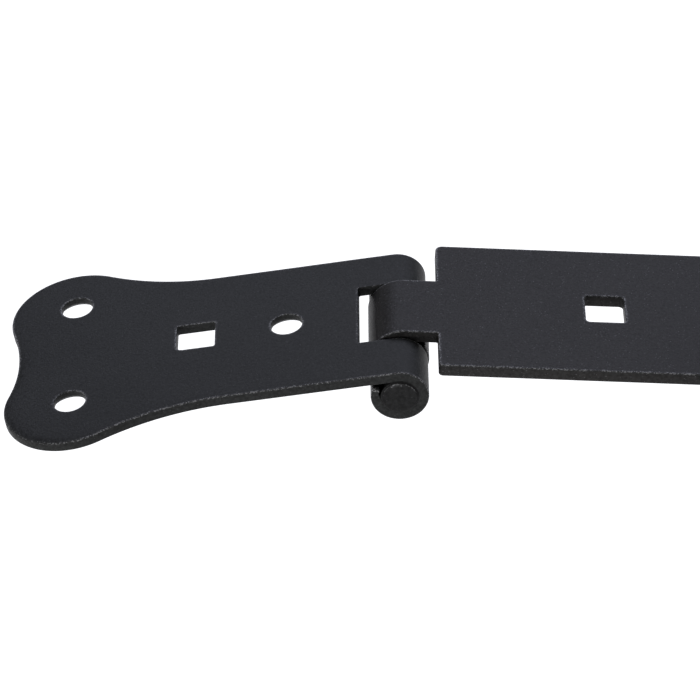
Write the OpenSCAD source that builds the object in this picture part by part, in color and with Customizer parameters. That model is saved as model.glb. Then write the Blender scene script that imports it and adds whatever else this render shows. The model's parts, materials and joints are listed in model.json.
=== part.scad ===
// Strap hinge: a short lobed leaf and a long strap that turn on one riveted pin.
//
// The pin lies along Y and the origin is the middle of the barrel. The leaf runs towards -X and
// the strap towards +X. Both slope down a little, as the hinge lies on a table on its two ends,
// barrel underneath. Each plate is drawn level, then tilted about the pin.
// Seen from -Y, angles in the barrel's cross-section run from +X up towards +Z.

/* [Barrel] */
// Diameter of the pin
pin_d = 7.5; // [7:0.1:8]
// Gap between the pin and the strap's eye, on the radius
eye_gap = 0.05; // [0.02:0.01:0.1]
// Gap between the pin and the leaf's knuckles, on the radius
knuckle_gap = 0.25; // [0.1:0.05:0.35]
// Diameter of the riveted heads
head_d = 8.6; // [8.4:0.1:10]
// How far each riveted head stands out
head_h = 0.5; // [0.4:0.1:1.6]

/* [Leaf] */
// Width beside the barrel, and the barrel's length
leaf_w = 45; // [42:0.5:48]
// Thickness of the plate with its coat
leaf_t = 2.5; // [2:0.1:3]
// Lobe on the side towards +Y: its centre from the pin, from the centreline, and its radius
lobe_rear = [73.2, 15, 15.4];
// Lobe on the side towards -Y
lobe_front = [73.7, -16.7, 14.9];
// Radius of the hollow flank that leads to each lobe
flank_rear_r = 54; // [45:1:60]
flank_front_r = 61; // [50:1:66]
// Radius of the notch between the lobes
notch_r = 37; // [32:1:45]
// Width of the slot between the knuckles
slot_w = 20.3; // [20.2:0.1:21]
// Distance from the pin to the end of the slot
slot_end = 8.2; // [8:0.1:10]
// How far the slot lies off the centreline
slot_shift = 0.88; // [0.7:0.02:0.98]
// Slope of the leaf on the table, in degrees
leaf_tilt = 9.15; // [0:0.05:12]

/* [Strap] */
// Width
strap_w = 45; // [40:0.5:50]
// Thickness of the plate with its coat
strap_t = 3; // [2.7:0.1:3.1]
// Distance from the pin to the round end
strap_reach = 300; // [200:5:500]
// Width of the tongue that rolls round the pin
tongue_w = 19.5; // [16:0.1:19.6]
// How far the tongue lies off the strap's centreline
tongue_shift = -0.8; // [-1:0.05:-0.6]
// How far the strap stands off the leaf's centreline
strap_shift = 1.62; // [1.4:0.02:1.8]
// Distance from the pin to the shoulders
shoulder = 8.3; // [8:0.1:12]
// Radius of the shoulders' corners
shoulder_r = 1; // [0.5:0.1:3]
// How far the plate stands above the round of its eye
strap_rise = 1.13; // [0.5:0.01:1.2]
// Slope of the strap on the table, in degrees
strap_tilt = 2.88; // [0:0.02:5]

/* [Holes] */
// Diameter of the round screw holes
screw_d = 7.2; // [5:0.1:8]
// Depth of the 45 degree countersink on the barrel's side of each round hole
screw_sink = 1; // [0.2:0.1:1.5]
// Side of the leaf's square hole
leaf_square = 8.8; // [8:0.1:10]
// Sides of the strap's square hole, along and across the strap
strap_square = [8.9, 9.5];
// Distance from the pin to the leaf's first round hole
leaf_screw_x = 24.6; // [20:0.1:30]
// Distance from the pin to the leaf's square hole
leaf_square_x = 45.4; // [42:0.1:52]
// How far both lie off the centreline
leaf_hole_y = 1.05; // [0:0.05:1.5]
// Distance from the pin to the two round holes in the lobes, the distance between them, and how
// far off the centreline they stand as a pair
lobe_screw_x = 73.5; // [70:0.1:76]
lobe_screw_pitch = 34.7; // [30:0.1:37]
lobe_screw_shift = 0.4; // [0:0.1:1]
// Distance from the pin to the strap's square hole
strap_square_x = 46.2; // [40:0.1:60]
// How far the strap's holes lie off its centreline
strap_hole_y = 0.55; // [0:0.05:1]
// Number of round holes along the strap
strap_screws = 3; // [1:1:4]

/* [Hidden] */
$fn = 96;
pin_r = pin_d / 2;
knuckle_bore_r = pin_r + knuckle_gap;
knuckle_r = knuckle_bore_r + leaf_t;
eye_bore_r = pin_r + eye_gap;
eye_r = eye_bore_r + strap_t;
// A roll's free end stops this far above the level line, leaving a slit under its own plate
knuckle_end = 29;
eye_end = 35;
head_chamfer = 0.2;
corner_r = 0.4;
// Height of the strap's top and underside over the pin
strap_top = eye_r + strap_rise;
strap_under = strap_top - strap_t;
// Each flank's arc touches the straight edge and its lobe
flank_rear = flank_centre(lobe_rear, flank_rear_r);
flank_front = flank_centre(lobe_front, flank_front_r);
// The notch is an arc that touches both lobes
lobe_gap = point(lobe_front) - point(lobe_rear);
rear_reach = notch_r + lobe_rear.z;
front_reach = notch_r + lobe_front.z;
notch_along = (pow(rear_reach, 2) - pow(front_reach, 2) + pow(norm(lobe_gap), 2)) / (2 * norm(lobe_gap));
notch_out = sqrt(pow(rear_reach, 2) - pow(notch_along, 2));
notch = point(lobe_rear) + notch_along * unit(lobe_gap) + notch_out * unit([-lobe_gap.y, lobe_gap.x]);
// The hollow arcs cut this much deeper, so that nothing thin is left where they touch the lobes
blend = 0.005;
screw_r = screw_d / 2;
strap_end_r = strap_w / 2;
strap_screw_pitch = (strap_reach - strap_end_r - strap_square_x) / strap_screws;
// Cutters reach this far past the faces they open
past = 1;

function unit(v) = v / norm(v);

// A lobe's centre, and the point where an arc centred at c touches the lobe
function point(lobe) = [lobe.x, lobe.y];
function touch(lobe, c) = point(lobe) + lobe.z * unit(c - point(lobe));

function flank_centre(lobe, r) =
    let (y = sign(lobe.y) * (leaf_w / 2 + r))
    [lobe.x - sqrt(pow(r + lobe.z, 2) - pow(y - lobe.y, 2)), y];

// Draws its children in the barrel's cross-section and gives them a width along Y
module across(width) {
    rotate([90, 0, 0])
        linear_extrude(width, center = true)
            children();
}

// A ring about the pin, between two angles, made as wide as asked along Y
module roll(r_in, r_out, from_deg, to_deg, width) {
    rotate([90, 0, 0])
        rotate([0, 0, from_deg])
            rotate_extrude(angle = to_deg - from_deg)
                translate([r_in, -width / 2])
                    square([r_out - r_in, width]);
}

// A round hole through a plate of thickness t, countersunk from below
module screw_hole(x, y, t) {
    translate([x, y]) {
        translate([0, 0, -past])
            cylinder(h = t + 2 * past, r = screw_r);
        translate([0, 0, -past])
            cylinder(h = screw_sink + past, r1 = screw_r + screw_sink + past, r2 = screw_r);
    }
}

// A square hole with just rounded corners
module square_hole(x, y, size, t) {
    in_x = size.x / 2 - corner_r;
    in_y = size.y / 2 - corner_r;
    translate([x, y, -past])
        linear_extrude(t + 2 * past) {
            square([size.x, 2 * in_y], center = true);
            square([2 * in_x, size.y], center = true);
            for (sx = [-1, 1], sy = [-1, 1])
                translate([sx * in_x, sy * in_y])
                    circle(corner_r);
        }
}

// The leaf's outline, drawn towards +X with the pin at the left
module leaf_outline() {
    difference() {
        union() {
            polygon([[0, -leaf_w / 2], [flank_front.x, -leaf_w / 2],
                     touch(lobe_front, flank_front), point(lobe_front), touch(lobe_front, notch),
                     touch(lobe_rear, notch), point(lobe_rear), touch(lobe_rear, flank_rear),
                     [flank_rear.x, leaf_w / 2], [0, leaf_w / 2]]);
            translate(point(lobe_rear))
                circle(lobe_rear.z);
            translate(point(lobe_front))
                circle(lobe_front.z);
        }
        translate(flank_rear)
            circle(flank_rear_r + blend, $fn = 360);
        translate(flank_front)
            circle(flank_front_r + blend, $fn = 360);
        translate(notch)
            circle(notch_r + blend, $fn = 360);
    }
}

module leaf_holes() {
    screw_hole(leaf_screw_x, leaf_hole_y, leaf_t);
    square_hole(leaf_square_x, leaf_hole_y, [leaf_square, leaf_square], leaf_t);
    for (side = [-1, 1])
        screw_hole(lobe_screw_x, lobe_screw_shift + side * lobe_screw_pitch / 2, leaf_t);
}

// The short leaf, its edge rolled down into two outer knuckles. Drawn towards +X, then mirrored.
module leaf() {
    color("#2b2b2d")
        rotate([0, -leaf_tilt, 0])
            mirror([1, 0, 0])
                difference() {
                    union() {
                        translate([0, 0, knuckle_bore_r])
                            linear_extrude(leaf_t)
                                leaf_outline();
                        roll(knuckle_bore_r, knuckle_r, 90, 360 + knuckle_end, leaf_w);
                    }
                    translate([-knuckle_r - past, slot_shift - slot_w / 2, -knuckle_r - past])
                        cube([knuckle_r + past + slot_end, slot_w, 2 * (knuckle_r + past)]);
                    translate([0, 0, knuckle_bore_r])
                        leaf_holes();
                }
}

// The strap's outline beyond its tongue, with square shoulders and a round end
module strap_outline() {
    corner_y = strap_w / 2 - shoulder_r;
    translate([shoulder + shoulder_r, -strap_w / 2])
        square([strap_reach - strap_end_r - shoulder - shoulder_r, strap_w]);
    translate([shoulder, -corner_y])
        square([shoulder_r, 2 * corner_y]);
    for (side = [-1, 1])
        translate([shoulder + shoulder_r, side * corner_y])
            circle(shoulder_r);
    translate([strap_reach - strap_end_r, 0])
        circle(strap_end_r);
}

module strap_holes() {
    square_hole(strap_square_x, strap_hole_y, strap_square, strap_t);
    for (i = [1 : strap_screws])
        screw_hole(strap_square_x + i * strap_screw_pitch, strap_hole_y, strap_t);
}

// The tongue: a round eye under the plate, opened upwards on one side to reach the plate's height
module tongue() {
    roll(eye_bore_r, eye_r, 180, 360 + eye_end, tongue_w);
    translate([strap_rise, 0, 0])
        roll(strap_under, strap_top, 90, 180, tongue_w);
    translate([strap_rise, -tongue_w / 2, strap_under])
        cube([shoulder + shoulder_r - strap_rise, tongue_w, strap_t]);
}

// The long strap, its tongue rolled down round the middle of the pin
module strap() {
    color("#2b2b2d")
        rotate([0, strap_tilt, 0])
            translate([0, strap_shift, 0]) {
                translate([0, tongue_shift, 0])
                    tongue();
                translate([0, 0, strap_under])
                    difference() {
                        linear_extrude(strap_t)
                            strap_outline();
                        strap_holes();
                    }
            }
}

// The pin, turned about Y, with a riveted head at each end of the barrel
module hinge_pin() {
    end = leaf_w / 2;
    color("#303033")
        rotate([90, 0, 0])
            rotate_extrude()
                polygon([[0, -end - head_h], [head_d / 2 - head_chamfer, -end - head_h],
                         [head_d / 2, head_chamfer - end - head_h], [head_d / 2, -end],
                         [pin_r, -end], [pin_r, end], [head_d / 2, end],
                         [head_d / 2, end + head_h - head_chamfer],
                         [head_d / 2 - head_chamfer, end + head_h], [0, end + head_h]]);
}

leaf();
strap();
hinge_pin();
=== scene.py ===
"""Looks for the strap hinge: a lobed leaf, a long strap and a riveted pin, all in black powder coat.

Both plates are made the way the real ones are. A flat outline with rounded edges is drawn in
(u, v, h): u runs along the plate away from the pin, v across it, h up from its underside. Then the
end beyond the barrel is rolled round the pin. Sizes are in millimetres until put_in_place().
"""

import json
import math

import bpy
import numpy as np
from mathutils import Matrix, Vector, noise
from mathutils.geometry import delaunay_2d_cdt


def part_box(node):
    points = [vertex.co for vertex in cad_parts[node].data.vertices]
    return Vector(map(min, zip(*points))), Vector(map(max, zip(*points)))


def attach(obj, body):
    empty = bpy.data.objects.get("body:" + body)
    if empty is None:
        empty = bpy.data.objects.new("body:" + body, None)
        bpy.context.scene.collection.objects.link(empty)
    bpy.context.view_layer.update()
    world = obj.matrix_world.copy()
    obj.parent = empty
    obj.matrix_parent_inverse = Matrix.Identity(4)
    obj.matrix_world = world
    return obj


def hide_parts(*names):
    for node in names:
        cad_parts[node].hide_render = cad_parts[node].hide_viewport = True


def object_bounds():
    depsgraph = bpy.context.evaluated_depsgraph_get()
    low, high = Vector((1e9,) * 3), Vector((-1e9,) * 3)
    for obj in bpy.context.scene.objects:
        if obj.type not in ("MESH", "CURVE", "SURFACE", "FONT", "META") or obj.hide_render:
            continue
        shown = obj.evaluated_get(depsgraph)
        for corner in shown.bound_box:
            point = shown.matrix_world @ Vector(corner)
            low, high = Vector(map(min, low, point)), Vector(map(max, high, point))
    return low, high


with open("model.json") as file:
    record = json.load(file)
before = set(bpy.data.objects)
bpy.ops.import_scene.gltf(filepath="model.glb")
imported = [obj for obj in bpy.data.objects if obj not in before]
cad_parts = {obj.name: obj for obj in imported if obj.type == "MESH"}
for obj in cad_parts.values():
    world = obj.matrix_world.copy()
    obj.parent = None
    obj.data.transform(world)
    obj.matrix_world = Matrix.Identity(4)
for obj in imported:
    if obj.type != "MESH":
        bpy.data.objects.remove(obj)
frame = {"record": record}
cad_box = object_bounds()

MM = 0.001

# ---------------------------------------------------------------- sizes, as the CAD has them
PIN_R = 3.75
KNUCKLE_BORE_R = 4.0
EYE_BORE_R = 3.8
HEAD_R = 4.3
LEAF_W, LEAF_T = 45.0, 2.5
LOBE_REAR = (73.2, 15.0, 15.4)
LOBE_FRONT = (73.7, -16.7, 14.9)
FLANK_REAR_R, FLANK_FRONT_R = 54.0, 61.0
NOTCH_R = 37.0
SLOT_END, SLOT_W, SLOT_SHIFT = 8.2, 20.3, 0.88
KNUCKLE_END = 29.0
STRAP_W, STRAP_T = 45.0, 3.0
STRAP_REACH = 300.0
TONGUE_W, TONGUE_SHIFT = 19.5, -0.8
STRAP_SHIFT = 1.62
SHOULDER = 8.3
STRAP_RISE = 1.13
EYE_END = 35.0
SCREW_R, SINK = 3.6, 1.0
LEAF_SQUARE = (8.8, 8.8)
STRAP_SQUARE = (8.9, 9.5)
STRAP_TOP = EYE_BORE_R + STRAP_T + STRAP_RISE
STRAP_UNDER = STRAP_TOP - STRAP_T

# ---------------------------------------------------------------- sizes that the CAD simplifies
HEAD_H = 0.45
HEAD_TOP_R = 3.95
HEAD_ROUND_R = 0.22
SHOULDER_REAR_R, SHOULDER_FRONT_R = 1.6, 1.0
CORNER_R = 0.6
INNER_CORNER_R = 0.4
# Radii of the plates' edges, as (top, under)
LEAF_EDGE, STRAP_EDGE = (0.38, 0.3), (0.35, 0.3)
SQUARE_EDGE, SCREW_EDGE = (0.3, 0.3), (0.3, SINK)
SINK_LIP = 0.12
WAVE_HEIGHT = 0.03

# ---------------------------------------------------------------- how finely the meshes are divided
FLAT_STEP = 1.2
ROLL_STEP = 0.4
NEVER_ROLLED = -1e9
ROUND_STEPS = 7
QUARTER = np.radians(np.linspace(0, 90, ROUND_STEPS))
FIRST_RING, FIRST_RING_CLEAR = 0.35, 0.3
FURTHER_RINGS = (0.8, 1.5)
GRID_STEP, GRID_CLEAR = 2.0, 1.9
POINTS_AT_A_TIME = 2000
PIN_STEPS = 96

MOUNTS = {m["name"]: m for m in frame["record"]["mounts"]}
LEAF_UP = Vector(MOUNTS["leaf_back"]["axis"])
STRAP_UP = Vector(MOUNTS["strap_back"]["axis"])
LEAF_TILT = math.atan2(-LEAF_UP.x, LEAF_UP.z)
STRAP_TILT = math.atan2(STRAP_UP.x, STRAP_UP.z)
TURN_LEAF = Matrix.Rotation(-LEAF_TILT, 3, "Y")
TURN_STRAP = Matrix.Rotation(STRAP_TILT, 3, "Y")


def plate_place(mount, turn, side, shift):
    """A hole's place on its own plate, as (u, v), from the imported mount."""
    p = turn.transposed() @ Vector(MOUNTS[mount]["pos_m"]) / MM
    return side * p.x, p.y - shift


def ramp(values, start, stop):
    """0 at start and 1 at stop, straight between them and flat beyond."""
    return np.clip((values - start) / (stop - start), 0, 1)


# ---------------------------------------------------------------- outlines
def arc(centre, radius, start, end, step=0.6):
    """Points on an arc between two angles in degrees, both ends among them."""
    n = max(3, math.ceil(abs(math.radians(end - start)) * radius / step))
    angles = np.radians(np.linspace(start, end, n + 1))
    return [(centre[0] + radius * math.cos(a), centre[1] + radius * math.sin(a)) for a in angles]


def rounded(corners):
    """A closed outline through (u, v, radius) corners, each turned into an arc of its radius."""
    made = []
    for i, (x, y, r) in enumerate(corners):
        here = np.array((x, y))
        back = np.array(corners[i - 1][:2]) - here
        on = np.array(corners[(i + 1) % len(corners)][:2]) - here
        if r == 0:
            made.append((x, y))
            continue
        back, on = back / np.linalg.norm(back), on / np.linalg.norm(on)
        half = math.acos(float(np.clip(back @ on, -1, 1))) / 2
        middle = here + (back + on) / np.linalg.norm(back + on) * r / math.sin(half)
        first = here + back * r / math.tan(half) - middle
        last = here + on * r / math.tan(half) - middle
        a0 = math.degrees(math.atan2(first[1], first[0]))
        a1 = math.degrees(math.atan2(last[1], last[0]))
        a1 += 360 * round((a0 - a1) / 360)
        made += arc(middle, r, a0, a1, step=0.12)
    return made


def spaced(points, roll_from):
    """The outline with its long edges divided, finely where u is below roll_from and it gets rolled."""
    made = []
    for a, b in zip(points, points[1:] + points[:1]):
        if a[0] < roll_from < b[0] or b[0] < roll_from < a[0]:
            t = (roll_from - a[0]) / (b[0] - a[0])
            middle = (roll_from, a[1] + t * (b[1] - a[1]))
            parts = [(a, middle), (middle, b)]
        else:
            parts = [(a, b)]
        for p, q in parts:
            step = ROLL_STEP if (p[0] + q[0]) / 2 < roll_from else FLAT_STEP
            n = max(1, math.ceil(math.dist(p, q) / step))
            made += [(p[0] + (q[0] - p[0]) * i / n, p[1] + (q[1] - p[1]) * i / n) for i in range(n)]
    return made


def round_hole(place):
    """A round hole's loop, clockwise as every hole's loop is."""
    return arc(place, SCREW_R, 360, 0, step=0.35)[:-1]


def square_hole(place, size, radii):
    """A square hole's loop. The corner at low u and low v is the first, and the next is at high v."""
    u, v = place
    du, dv = size[0] / 2, size[1] / 2
    corners = [(u - du, v - dv), (u - du, v + dv), (u + du, v + dv), (u + du, v - dv)]
    return spaced(rounded([(x, y, r) for (x, y), r in zip(corners, radii)]), NEVER_ROLLED)


def degrees_to(start, end):
    """The direction from one point to another."""
    return math.degrees(math.atan2(end[1] - start[1], end[0] - start[0]))


def flank_centre(lobe, radius):
    """The centre of the arc that touches the leaf's straight edge and the lobe."""
    x, y, r = lobe
    v = math.copysign(LEAF_W / 2 + radius, y)
    return x - math.sqrt((radius + r) ** 2 - (v - y) ** 2), v


def notch_centre():
    """The centre of the arc that touches both lobes."""
    rear, front = np.array(LOBE_REAR[:2]), np.array(LOBE_FRONT[:2])
    apart = math.dist(rear, front)
    to_rear, to_front = NOTCH_R + LOBE_REAR[2], NOTCH_R + LOBE_FRONT[2]
    along = (to_rear**2 - to_front**2 + apart**2) / (2 * apart)
    out = math.sqrt(to_rear**2 - along**2)
    line = (front - rear) / apart
    return rear + along * line + out * np.array((-line[1], line[0]))


def leaf_outline(tip):
    """The leaf laid flat, its two knuckle strips running back to u = tip."""
    rear, front, notch = LOBE_REAR[:2], LOBE_FRONT[:2], notch_centre()
    flank_rear = flank_centre(LOBE_REAR, FLANK_REAR_R)
    flank_front = flank_centre(LOBE_FRONT, FLANK_FRONT_R)
    out_front, in_front = degrees_to(flank_front, front), degrees_to(front, notch)
    out_rear, in_rear = degrees_to(flank_rear, rear), degrees_to(rear, notch)
    far = arc(flank_front, FLANK_FRONT_R, 90, out_front, step=1.0)
    far += arc(front, LOBE_FRONT[2], out_front - 180, in_front)[1:]
    far += arc(notch, NOTCH_R, 180 + in_front, 180 + in_rear)[1:]
    far += arc(rear, LOBE_REAR[2], in_rear, 180 + out_rear)[1:]
    far += arc(flank_rear, FLANK_REAR_R, out_rear, -90, step=1.0)[1:]
    low, high = SLOT_SHIFT - SLOT_W / 2, SLOT_SHIFT + SLOT_W / 2
    w = LEAF_W / 2
    near = rounded([(tip, w, CORNER_R), (tip, high, CORNER_R), (SLOT_END, high, INNER_CORNER_R),
                    (SLOT_END, low, INNER_CORNER_R), (tip, low, CORNER_R), (tip, -w, CORNER_R),
                    (flank_front[0], -w, 0), (flank_rear[0], w, 0)])[:-2]
    return spaced(far + near, 1.0)


def strap_outline(tip):
    """The strap laid flat, its tongue running back to u = tip."""
    w = STRAP_W / 2
    low, high = TONGUE_SHIFT - TONGUE_W / 2, TONGUE_SHIFT + TONGUE_W / 2
    middle = STRAP_REACH - w
    end = arc((middle, 0), w, -90, 90)
    near = rounded([(middle, w, 0), (SHOULDER, w, SHOULDER_REAR_R), (SHOULDER, high, INNER_CORNER_R),
                    (tip, high, CORNER_R), (tip, low, CORNER_R), (SHOULDER, low, INNER_CORNER_R),
                    (SHOULDER, -w, SHOULDER_FRONT_R), (middle, -w, 0)])[1:-1]
    return spaced(end + near, STRAP_RISE + 1.0)


# ---------------------------------------------------------------- plates
def inset_loop(loop, inset):
    """The loop moved into the plate. Outlines run anticlockwise and holes clockwise."""
    p = np.array(loop)
    before, after = p - np.roll(p, 1, 0), np.roll(p, -1, 0) - p
    before /= np.linalg.norm(before, axis=1)[:, None]
    after /= np.linalg.norm(after, axis=1)[:, None]
    along = before + after
    along /= np.linalg.norm(along, axis=1)[:, None]
    inward = np.stack([-along[:, 1], along[:, 0]], 1)
    mitre = np.clip(np.sum(along * after, 1), 0.5, 1)
    return p + inward * (inset / mitre)[:, None]


def edge_distance(points, loops):
    """How far each point is from the nearest edge of the plate."""
    best = np.full(len(points), 1e9)
    for loop in loops:
        a = np.array(loop)
        b = np.roll(a, -1, 0)
        ab = b - a
        for i in range(0, len(points), POINTS_AT_A_TIME):
            part = slice(i, i + POINTS_AT_A_TIME)
            p = points[part, None]
            t = np.clip(((p - a) * ab).sum(2) / (ab**2).sum(1), 0, 1)
            d = np.linalg.norm(p - a - t[..., None] * ab, axis=2).min(1)
            best[part] = np.minimum(best[part], d)
    return best


def inside(points, loops):
    """Which points lie on the plate: inside an odd number of loops."""
    odd = np.zeros(len(points), bool)
    for loop in loops:
        a = np.array(loop)
        b = np.roll(a, -1, 0)
        for i in range(0, len(points), POINTS_AT_A_TIME):
            part = slice(i, i + POINTS_AT_A_TIME)
            x, y = points[part, None, 0], points[part, None, 1]
            spans = (a[:, 1] > y) != (b[:, 1] > y)
            with np.errstate(divide="ignore", invalid="ignore"):
                cross = a[:, 0] + (y - a[:, 1]) / (b[:, 1] - a[:, 1]) * (b[:, 0] - a[:, 0])
            odd[part] ^= (spans & (x < cross)).sum(1) % 2 == 1
    return odd


def grid(low, high, step_u, step_v):
    """Points in rows, every second row moved half a step so that the triangles come out even."""
    u = np.arange(low[0], high[0], step_u)
    v = np.arange(low[1], high[1], step_v)
    gu, gv = np.meshgrid(u, v, indexing="ij")
    gv = gv + (np.arange(len(u)) % 2)[:, None] * step_v / 2
    return np.stack([gu.ravel(), gv.ravel()], 1)


def edge_profile(top, under, thickness):
    """A plate's edge from its top to its underside, as (inset, height) pairs.

    It starts with a quarter round of radius top. It ends with one of radius under, or with a
    countersink where under is SINK.
    """
    profile = [(top * (1 - math.sin(a)), thickness - top * (1 - math.cos(a))) for a in QUARTER]
    if under == SINK:
        steps = np.linspace(0, 1, ROUND_STEPS)
        profile += [(SINK_LIP + t * (under - SINK_LIP), (1 - t) * under) for t in steps]
        profile[ROUND_STEPS] = (0.0, under + SINK_LIP)
    else:
        profile += [(under * (1 - math.cos(a)), under * (1 - math.sin(a))) for a in QUARTER]
    return profile


# How strongly the upper round of an edge gets its painted highlight, partly thin-coat wear, from the
# flat top outwards
THIN_COAT_AND_HIGHLIGHT = (0.6, 0.9, 1.0, 0.9, 0.5, 0.15)


def plate(loops, edges_of, thickness, roll_from):
    """A plate with rounded edges, as (vertices in u, v, h; faces; how much painted edge highlight and
    thin-coat wear each vertex gets).

    edges_of gives every loop's edge radii, (top, under). Where u is below roll_from the mesh is fine
    enough to be rolled.
    """
    layers = [[] for _ in range(2 * ROUND_STEPS)]
    for loop, (top, under) in zip(loops, edges_of):
        for layer, (inset, h) in zip(layers, edge_profile(top, under, thickness)):
            layer.append(np.column_stack([inset_loop(loop, inset), np.full(len(loop), h)]))
    caps = [[rim[:, :2] for rim in layers[0]], [rim[:, :2] for rim in layers[-1]]]
    links, start = [], 0
    for loop in loops:
        n = len(loop)
        links += [(start + i, start + (i + 1) % n) for i in range(n)]
        start += n
    vertices = [np.concatenate(layer) for layer in layers]
    weight = [np.full(start, highlight_share) for highlight_share in THIN_COAT_AND_HIGHLIGHT]
    weight += [np.zeros(start)] * (len(layers) - len(THIN_COAT_AND_HIGHLIGHT))
    faces = []
    for k in range(len(layers) - 1):
        near, far = k * start, (k + 1) * start
        faces += [[near + j, near + i, far + i, far + j] for i, j in links]
    count = len(layers) * start
    for top, rims, first in ((True, caps[0], 0), (False, caps[1], (len(layers) - 1) * start)):
        free, triangles = fill(rims, links, roll_from)
        height = thickness if top else 0.0
        vertices.append(np.column_stack([free, np.full(len(free), height)]))
        weight.append(np.zeros(len(free)))
        for t in triangles.tolist():
            t = t if top else t[::-1]
            faces.append([first + i if i < start else i - start + count for i in t])
        count += len(free)
    return np.concatenate(vertices), faces, np.concatenate(weight)


def fill(rims, links, roll_from):
    """Points between the rims, and the triangles that join them, anticlockwise from above."""
    rim = np.concatenate(rims)
    low, high = rim.min(0), rim.max(0)
    spare = np.concatenate([grid((roll_from, low[1]), high, GRID_STEP, GRID_STEP),
                            grid(low, (roll_from, high[1]), ROLL_STEP * 1.2, FLAT_STEP)])
    spare = spare[edge_distance(spare, rims) > GRID_CLEAR]
    near = [inset_loop(loop, FIRST_RING) for loop in rims]
    near += [inset_loop(loop, ring)[::2] for loop in rims for ring in FURTHER_RINGS]
    near = np.concatenate(near)
    near = near[edge_distance(near, rims) > FIRST_RING_CLEAR]
    free = np.concatenate([near, spare])
    free = free[inside(free, rims)]
    both = np.concatenate([rim, free])
    made = delaunay_2d_cdt([Vector(p) for p in both], links, [], 1, 1e-6)
    order = np.array([ids[0] for ids in made[3]])
    assert len(order) == len(both), "the outline crosses itself"
    triangles = order[np.array([f for f in made[2] if len(f) == 3])]
    triangles = triangles[inside(both[triangles].mean(1), rims)]
    a, b, c = (both[triangles[:, i]] for i in range(3))
    turned = (b - a)[:, 0] * (c - a)[:, 1] - (b - a)[:, 1] * (c - a)[:, 0] < 0
    triangles[turned] = triangles[turned][:, ::-1]
    return free, triangles


def put_in_place(name, vertices, faces, weight, turn, shift, body, node, material):
    """Makes the object in the row frame, in metres, attaches it to its body, gives it its material and
    hides its CAD node.
    """
    mesh = bpy.data.meshes.new(name)
    turned = (np.array(turn) @ np.asarray(vertices).T).T + np.array((0, shift, 0))
    mesh.from_pydata((turned * MM).tolist(), [], faces)
    # The edge weight marks where the coat is painted lighter as an edge highlight, partly thin-coat wear
    edge = mesh.attributes.new("edge", "FLOAT", "POINT")
    edge.data.foreach_set("value", np.asarray(weight, dtype=np.float32))
    mesh.shade_smooth()
    obj = bpy.data.objects.new(name, mesh)
    bpy.context.scene.collection.objects.link(obj)
    obj.data.materials.append(material)
    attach(obj, body)
    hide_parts(node)
    return obj


def about_pin(radius, angle, centre_x=0.0):
    """The place, as (x, z), at a radius and angle about the pin or a line beside it."""
    return centre_x + radius * np.cos(angle), radius * np.sin(angle)


def waviness(points, seed):
    """The slight unevenness of rolled sheet: smooth, and never more than WAVE_HEIGHT."""
    return WAVE_HEIGHT * np.array([noise.noise(Vector((p[0] / 17, p[1] / 13, seed))) for p in points])


def roll_leaf(vertices):
    """Rolls the strips beyond u = 0 down round the pin, and lays the leaf towards -X."""
    u, v, h = vertices.T
    radius = KNUCKLE_BORE_R + h
    middle = KNUCKLE_BORE_R + LEAF_T / 2
    x, z = about_pin(radius, math.pi / 2 + np.minimum(u, 0) / middle)
    return np.column_stack([x - np.maximum(u, 0), v, z])


def roll_strap(vertices):
    """Rolls the tongue: first the wide arc that brings it down to the eye, then the eye itself."""
    u, v, h = vertices.T
    wide = math.pi / 2 * (STRAP_UNDER + STRAP_T / 2)
    into = np.clip(STRAP_RISE - u, 0, wide)
    beyond = np.maximum(STRAP_RISE - u - wide, 0)
    angle = math.pi / 2 + into / (STRAP_UNDER + STRAP_T / 2)
    x1, z1 = about_pin(STRAP_UNDER + h, angle, STRAP_RISE)
    x2, z2 = about_pin(EYE_BORE_R + h, math.pi + beyond / (EYE_BORE_R + STRAP_T / 2))
    x = np.where(beyond > 0, x2, x1 + np.maximum(u - STRAP_RISE, 0))
    return np.column_stack([x, v, np.where(beyond > 0, z2, z1)])


# ---------------------------------------------------------------- material
SKIN_SCALE, GRAIN_SCALE, CLOUD_SCALE, FLECK_SCALE = 1500, 2900, 30, 3800
# Painted edge highlight, partly thin-coat wear: more flecks on the edges, a lighter coat tone and bright
# bare-metal glints
EDGE_GLINT_CHANCE = 0.62
WORN_AND_HIGHLIT_COAT = (0.068, 0.068, 0.07, 1)
BARE_METAL_GLINT = (0.35, 0.35, 0.36, 1)
COARSE_BUMP, FINE_BUMP = 0.000012, 0.000008


def add(tree, kind, **values):
    """A new node with some of its settings and some plain values of its sockets."""
    node = tree.nodes.new(kind)
    for key, value in values.items():
        if hasattr(node, key):
            setattr(node, key, value)
        else:
            node.inputs[key.replace("_", " ")].default_value = value
    return node


def own_place(tree, seed):
    """The point's place on its own object, moved so that no two coats are alike."""
    place = add(tree, "ShaderNodeTexCoord")
    shift = add(tree, "ShaderNodeMapping")
    shift.inputs["Location"].default_value = (seed, 2 * seed, 3 * seed)
    tree.links.new(place.outputs["Object"], shift.inputs["Vector"])
    return shift.outputs[0]


def noise_at(tree, place, scale, detail):
    """Smooth noise of about scale waves per metre."""
    node = add(tree, "ShaderNodeTexNoise", Scale=scale, Detail=detail)
    tree.links.new(place, node.inputs["Vector"])
    return node.outputs["Fac"]


def mapped(tree, source, first, last, low=0.3, high=0.7):
    """Source turned from low to high into first to last. Most noise lies between 0.3 and 0.7."""
    node = add(tree, "ShaderNodeMapRange", From_Min=low, From_Max=high, To_Min=first, To_Max=last)
    tree.links.new(source, node.inputs["Value"])
    return node.outputs[0]


def product(tree, first, second):
    """Two sockets multiplied."""
    node = add(tree, "ShaderNodeMath", operation="MULTIPLY")
    tree.links.new(first, node.inputs[0])
    tree.links.new(second, node.inputs[1])
    return node.outputs[0]


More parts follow.
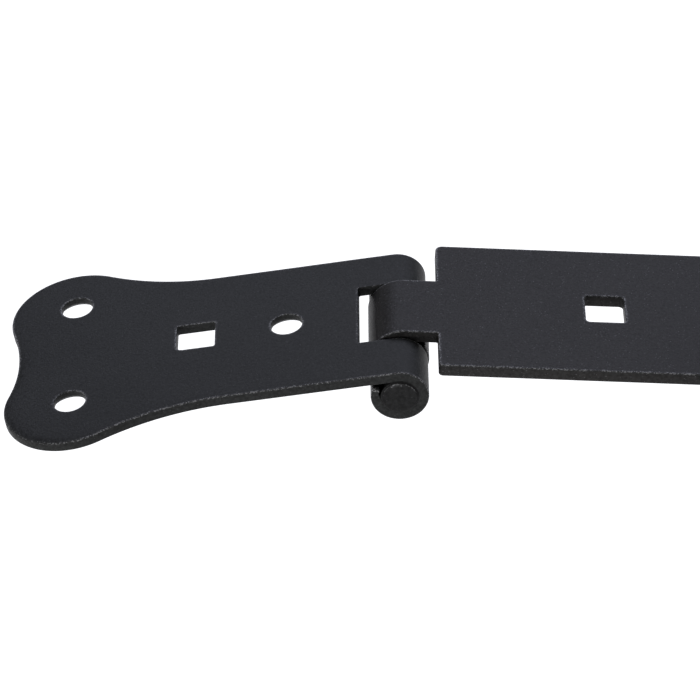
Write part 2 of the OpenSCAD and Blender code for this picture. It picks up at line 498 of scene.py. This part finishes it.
def mixed(tree, amount, first, second, blend="MIX"):
    """Two colours mixed. Amount and colours are each a socket or a plain value."""
    node = add(tree, "ShaderNodeMix", data_type="RGBA", blend_type=blend)
    for socket, value in ((node.inputs[0], amount), (node.inputs[6], first), (node.inputs[7], second)):
        if isinstance(value, bpy.types.NodeSocket):
            tree.links.new(value, socket)
        else:
            socket.default_value = value
    return node.outputs[2]


def bumped(tree, height, distance, below=None):
    """A bump of the given depth in metres, on top of another one where below is given."""
    node = add(tree, "ShaderNodeBump", Strength=1.0, Distance=distance)
    tree.links.new(height, node.inputs["Height"])
    if below:
        tree.links.new(below, node.inputs["Normal"])
    return node.outputs[0]


def fleck_mask(tree, place, edge):
    """Where a fleck shows: soft dots in a few of the coat's cells, and in many of them on an edge, where
    they are painted glints of the edge highlight.
    """
    cells = add(tree, "ShaderNodeTexVoronoi", Scale=FLECK_SCALE, feature="F1")
    tree.links.new(place, cells.inputs["Vector"])
    pick = add(tree, "ShaderNodeSeparateColor")
    tree.links.new(cells.outputs["Color"], pick.inputs[0])
    chance = add(tree, "ShaderNodeMath", operation="MULTIPLY_ADD")
    chance.inputs[1].default_value = EDGE_GLINT_CHANCE
    tree.links.new(edge, chance.inputs[0])
    tree.links.new(pick.outputs[0], chance.inputs[2])
    chosen = mapped(tree, chance.outputs[0], 0, 1, low=0.96, high=1.0)
    dot = mapped(tree, cells.outputs["Distance"], 0, 1, low=0.75, high=0.35)
    return product(tree, chosen, dot)


def coat_colour(tree, colour, flecks, seed_place, skin, edge):
    """The black of the coat, clouded and speckled, with its flecks, and lighter along the edges as a
    painted highlight, partly thin-coat wear.
    """
    cloud = noise_at(tree, seed_place, CLOUD_SCALE, 2)
    shade = product(tree, mapped(tree, cloud, 0.9, 1.1), mapped(tree, skin, 0.7, 1.3))
    base = mixed(tree, 1, (*colour, 1), shade, blend="MULTIPLY")
    # Painted highlight: the edge weight lightens the coat and turns its flecks into bright glints
    worn_and_highlit = mixed(tree, edge, base, WORN_AND_HIGHLIT_COAT)
    fleck_and_glint = mixed(tree, edge, (flecks, flecks, flecks * 1.04, 1), BARE_METAL_GLINT)
    return mixed(tree, fleck_mask(tree, seed_place, edge), worn_and_highlit, fleck_and_glint)


def coat(name, colour, gloss, flecks, grit, seed):
    """Black powder coat: fine leathery skin, faint clouding and small metallic flecks.

    gloss is its specular level, flecks the tone of the flecks away from the edges, and grit how
    strongly the skin and its grain stand out.
    """
    material = bpy.data.materials.new(name)
    material.use_nodes = True
    tree = material.node_tree
    tree.nodes.clear()
    out = add(tree, "ShaderNodeOutputMaterial")
    shader = add(tree, "ShaderNodeBsdfPrincipled")
    tree.links.new(shader.outputs[0], out.inputs[0])
    place = own_place(tree, seed)
    skin, grain = noise_at(tree, place, SKIN_SCALE, 2), noise_at(tree, place, GRAIN_SCALE, 1)
    # The edge attribute carries the painted edge highlight and thin-coat wear
    edge = add(tree, "ShaderNodeAttribute", attribute_name="edge").outputs["Fac"]
    spread = 0.003 * grit
    coarse = bumped(tree, skin, COARSE_BUMP * grit)
    looks = {
        "Base Color": coat_colour(tree, colour, flecks, place, skin, edge),
        "Roughness": mapped(tree, skin, 0.38, 0.47),
        "Specular IOR Level": mapped(tree, grain, gloss - spread, gloss + spread),
        "Normal": bumped(tree, grain, FINE_BUMP * grit, below=coarse),
    }
    for socket, source in looks.items():
        tree.links.new(source, shader.inputs[socket])
    return material


LEAF_COAT = coat("leaf_coat", (0.0264, 0.0272, 0.0272), 0.0395, 0.06, 3.4, 0.31)
STRAP_COAT = coat("strap_coat", (0.0263, 0.0253, 0.0252), 0.0515, 0.1, 5.4, 0.77)
PIN_COAT = coat("pin_coat", (0.02, 0.02, 0.0205), 0.036, 0.045, 2.5, 0.13)


# ---------------------------------------------------------------- the three pieces
def leaf_relief(vertices, outline, tip):
    """How far the leaf's surface leaves its plane.

    It is a little wavy. The stamping drew its outer edge down, most of all round the front lobe,
    and the cut ends of its knuckles are thinned from inside.
    """
    u, v, h = vertices.T
    at_lobe = ramp(u, 64, 78) * ramp(v, 8, -6)
    drawn = ramp(u, 12, 42) * (0.1 + 0.32 * at_lobe) * np.exp(-edge_distance(vertices[:, :2], [outline]))
    thinned = 0.75 * ramp(u, tip + 3.2, tip + 1) * (1 - h / LEAF_T)
    return waviness(vertices, 3.0) - drawn * h / LEAF_T + thinned


def leaf_edge_highlight(vertices, weight, tip):
    """The painted edge highlight, with its thin-coat wear, is weaker round the slot and on the front
    lobe, and a painted highlight lies on the front knuckle's free tip.
    """
    u, v, _ = vertices.T
    weight[(0 < u) & (u < 9) & (np.abs(v) < 11.5)] *= 0.45
    weight *= 1 - 0.6 * ramp(u, 73, 79) * ramp(v, 0, -10)
    # Painted highlight on the front knuckle's free tip
    return np.maximum(weight, 0.9 * ((u < tip + 0.6) & (v < 1 - LEAF_W / 2)))


def make_leaf():
    """The leaf, with its round holes and a square one that has one rounder corner."""
    tip = -math.radians(180 + KNUCKLE_END + 90) * (KNUCKLE_BORE_R + LEAF_T / 2)
    screw_holes = ("leaf_screw_hole", "lobe_screw_hole_rear", "lobe_screw_hole_front")
    loops = [leaf_outline(tip)]
    loops += [round_hole(plate_place(name, TURN_LEAF, -1, 0)) for name in screw_holes]
    square_at = plate_place("leaf_square_hole", TURN_LEAF, -1, 0)
    loops.append(square_hole(square_at, LEAF_SQUARE, (0.5, 0.5, 0.5, 1.5)))
    edges = [LEAF_EDGE] + [SCREW_EDGE] * len(screw_holes) + [SQUARE_EDGE]
    vertices, faces, weight = plate(loops, edges, LEAF_T, 0.0)
    weight = leaf_edge_highlight(vertices, weight, tip)
    vertices[:, 2] += leaf_relief(vertices, loops[0], tip)
    return put_in_place("leaf_plate", roll_leaf(vertices), faces, weight, TURN_LEAF, 0.0,
                        "leaf", "leaf", LEAF_COAT)


def make_strap():
    """The strap, with its square hole and every round hole that the record lists for it."""
    wide = math.pi / 2 * (STRAP_UNDER + STRAP_T / 2)
    eye = math.radians(180 + EYE_END) * (EYE_BORE_R + STRAP_T / 2)
    square_at = plate_place("strap_square_hole", TURN_STRAP, 1, STRAP_SHIFT)
    screw_holes = sorted(name for name in MOUNTS if name.startswith("strap_screw_hole"))
    loops = [strap_outline(STRAP_RISE - wide - eye),
             square_hole(square_at, STRAP_SQUARE, (1.0, 0.8, 1.0, 0.8))]
    loops += [round_hole(plate_place(name, TURN_STRAP, 1, STRAP_SHIFT)) for name in screw_holes]
    edges = [STRAP_EDGE] * 2 + [SCREW_EDGE] * len(screw_holes)
    vertices, faces, weight = plate(loops, edges, STRAP_T, STRAP_RISE)
    vertices[:, 2] += waviness(vertices, 9.0)
    return put_in_place("strap_plate", roll_strap(vertices), faces, weight, TURN_STRAP, STRAP_SHIFT,
                        "strap", "strap", STRAP_COAT)


def head_profile(end):
    """A riveted head from the pin's side to near the middle of its top, as (radius, y) pairs.

    A thin skirt lies on the knuckle, then a low step rises to a rounded rim and a crowned top.
    """
    top = end + HEAD_H
    head = [(PIN_R, end - 0.02), (HEAD_R, end - 0.02), (HEAD_R - 0.1, end + 0.06)]
    head += [(HEAD_TOP_R + 0.14, end + 0.1), (HEAD_TOP_R + 0.04, end + 0.18)]
    head += [(HEAD_TOP_R - HEAD_ROUND_R * (1 - math.cos(a)), top - HEAD_ROUND_R * (1 - math.sin(a)))
             for a in QUARTER]
    return head + [(r, top + 0.03 - 0.08 * (r / HEAD_R) ** 2) for r in (3.0, 2.3, 1.6, 0.8)]


def hammered(r, angle, y, end):
    """A point of the turned pin, moved by the wobble of a head's rim and the dents in its top."""
    wobble, dent = 0.0, 0.0
    x, z = math.cos(angle), math.sin(angle)
    if abs(y) > end:
        wobble = 0.1 * noise.noise(Vector((x * 1.4, z * 1.4, y)))
    if abs(y) > end + HEAD_H - 0.1:
        dent = 0.08 * noise.noise(Vector((r * x / 1.6, r * z / 1.6, y)))
    grown = r * (1 + wobble / HEAD_R)
    return grown * x, y + math.copysign(dent, y), grown * z


def turned_faces(rings, around):
    """Faces of a turned shape: a first point, rings of points, and a last point."""
    faces = [[0, 1 + (k + 1) % around, 1 + k] for k in range(around)]
    for base in range(1, 1 + (rings - 1) * around, around):
        for k in range(around):
            n = (k + 1) % around
            faces.append([base + k, base + n, base + around + n, base + around + k])
    base, last = 1 + (rings - 1) * around, 1 + rings * around
    return faces + [[last, base + k, base + (k + 1) % around] for k in range(around)]


def make_pin():
    """The pin, turned about Y, with a head at each end hammered over a little unevenly."""
    end = LEAF_W / 2
    half = head_profile(end)[::-1] + [(PIN_R, y) for y in np.linspace(end - 1, 0, 12)]
    profile = [(r, -y) for r, y in half] + [(r, y) for r, y in half[-2::-1]]
    angles = [2 * math.pi * k / PIN_STEPS for k in range(PIN_STEPS)]
    vertices = [(0, profile[0][1], 0)]
    vertices += [hammered(r, angle, y, end) for r, y in profile for angle in angles]
    vertices.append((0, profile[-1][1], 0))
    # Painted highlight along the top arc of each head's rim, through the edge weight
    rim = [0.6 * (abs(math.hypot(x, z) - HEAD_TOP_R) < 0.2 and abs(y) > end + 0.3 and z > 1.5)
           for x, y, z in vertices]
    return put_in_place("riveted_pin", vertices, turned_faces(len(profile), PIN_STEPS), rim,
                        Matrix.Identity(3), 0.0, "leaf", "hinge_pin", PIN_COAT)


make_leaf()
make_strap()
make_pin()

# ---------------------------------------------------------------- floor, light and camera
FLOOR_HALF = 4.0
FLOOR_GLOW = 0.965
WORLD_LEVEL = 0.14
CAMERA_YAW, CAMERA_PITCH, CAMERA_ROLL = -0.0039, 0.6515, -0.0007
PIN_SIDE, PIN_RISE, PIN_DISTANCE = 10.949, 3.324, 902.62
FOCAL_OVER_WIDTH = 40 / 7
SENSOR = 36


def lowest_reach():
    """The lowest height that the strap's box comes to, at rest and at both limits of the hinge."""
    low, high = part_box("strap")
    heights = [cad_box[0][2]]
    for limit in frame["record"]["behaviour"]["joints"][0]["range_deg"]:
        turn = Matrix.Rotation(math.radians(limit), 3, "Y")
        corners = [Vector((x, 0, z)) for x in (low[0], high[0]) for z in (low[2], high[2])]
        heights += [(turn @ corner).z for corner in corners]
    return min(heights)


def make_floor():
    """A pale floor so low that the folded strap doesn't go through it."""
    mesh = bpy.data.meshes.new("floor")
    s, z = FLOOR_HALF, lowest_reach()
    mesh.from_pydata([(-s, -s, z), (s, -s, z), (s, s, z), (-s, s, z)], [], [(0, 1, 2, 3)])
    floor = bpy.data.objects.new("floor", mesh)
    bpy.context.scene.collection.objects.link(floor)
    material = bpy.data.materials.new("pale_floor")
    material.use_nodes = True
    shader = material.node_tree.nodes["Principled BSDF"]
    shader.inputs["Base Color"].default_value = (0.4, 0.4, 0.4, 1)
    shader.inputs["Roughness"].default_value = 0.9
    shader.inputs["Specular IOR Level"].default_value = 0.0
    shader.inputs["Emission Color"].default_value = (1, 1, 1, 1)
    shader.inputs["Emission Strength"].default_value = FLOOR_GLOW
    mesh.materials.append(material)


def area_light(name, place, target, size, power, colour=(1, 1, 1)):
    """A rectangular softbox that faces its target."""
    data = bpy.data.lights.new(name, "AREA")
    data.shape = "RECTANGLE"
    data.size, data.size_y = size
    data.energy = power
    data.color = colour
    lamp = bpy.data.objects.new(name, data)
    lamp.location = place
    lamp.rotation_euler = (Vector(target) - Vector(place)).to_track_quat("-Z", "Y").to_euler()
    bpy.context.scene.collection.objects.link(lamp)


def make_light():
    """A large bluish softbox behind, for the tops, and a low strip in front, for the near edges."""
    world = bpy.data.worlds.new("studio")
    world.use_nodes = True
    back = world.node_tree.nodes["Background"]
    back.inputs["Color"].default_value = (1, 1, 1, 1)
    back.inputs["Strength"].default_value = WORLD_LEVEL
    bpy.context.scene.world = world
    area_light("softbox_rear", (0.18, 0.77, 0.64), (0.02, 0, 0), (1.35, 0.62), 9.1,
               colour=(0.95, 0.98, 1.16))
    area_light("softbox_front", (-0.45, -0.6, 0.025), (0, 0, 0), (0.6, 0.045), 1.7)


def make_camera():
    """A long lens 37 degrees above the table, almost square on to the pin's end.

    From the camera, the pin's middle is PIN_DISTANCE ahead, PIN_SIDE to the right and PIN_RISE up.
    """
    level = Vector((-math.sin(CAMERA_YAW), math.cos(CAMERA_YAW), 0))
    ahead = level * math.cos(CAMERA_PITCH) - Vector((0, 0, math.sin(CAMERA_PITCH)))
    right = Vector((math.cos(CAMERA_YAW), math.sin(CAMERA_YAW), 0))
    up = right.cross(ahead)
    turned_right = math.cos(CAMERA_ROLL) * right + math.sin(CAMERA_ROLL) * up
    turned_up = -math.sin(CAMERA_ROLL) * right + math.cos(CAMERA_ROLL) * up
    data = bpy.data.cameras.new("camera")
    data.sensor_width = SENSOR
    data.lens = FOCAL_OVER_WIDTH * SENSOR
    data.clip_start, data.clip_end = 0.05, 20
    camera = bpy.data.objects.new("camera", data)
    turn = Matrix((turned_right, turned_up, -ahead)).transposed().to_4x4()
    place = -(PIN_SIDE * turned_right + PIN_RISE * turned_up + PIN_DISTANCE * ahead) * MM
    camera.matrix_world = Matrix.Translation(place) @ turn
    bpy.context.scene.collection.objects.link(camera)
    bpy.context.scene.camera = camera


make_floor()
make_light()
make_camera()
bpy.context.scene.view_settings.view_transform = "Standard"
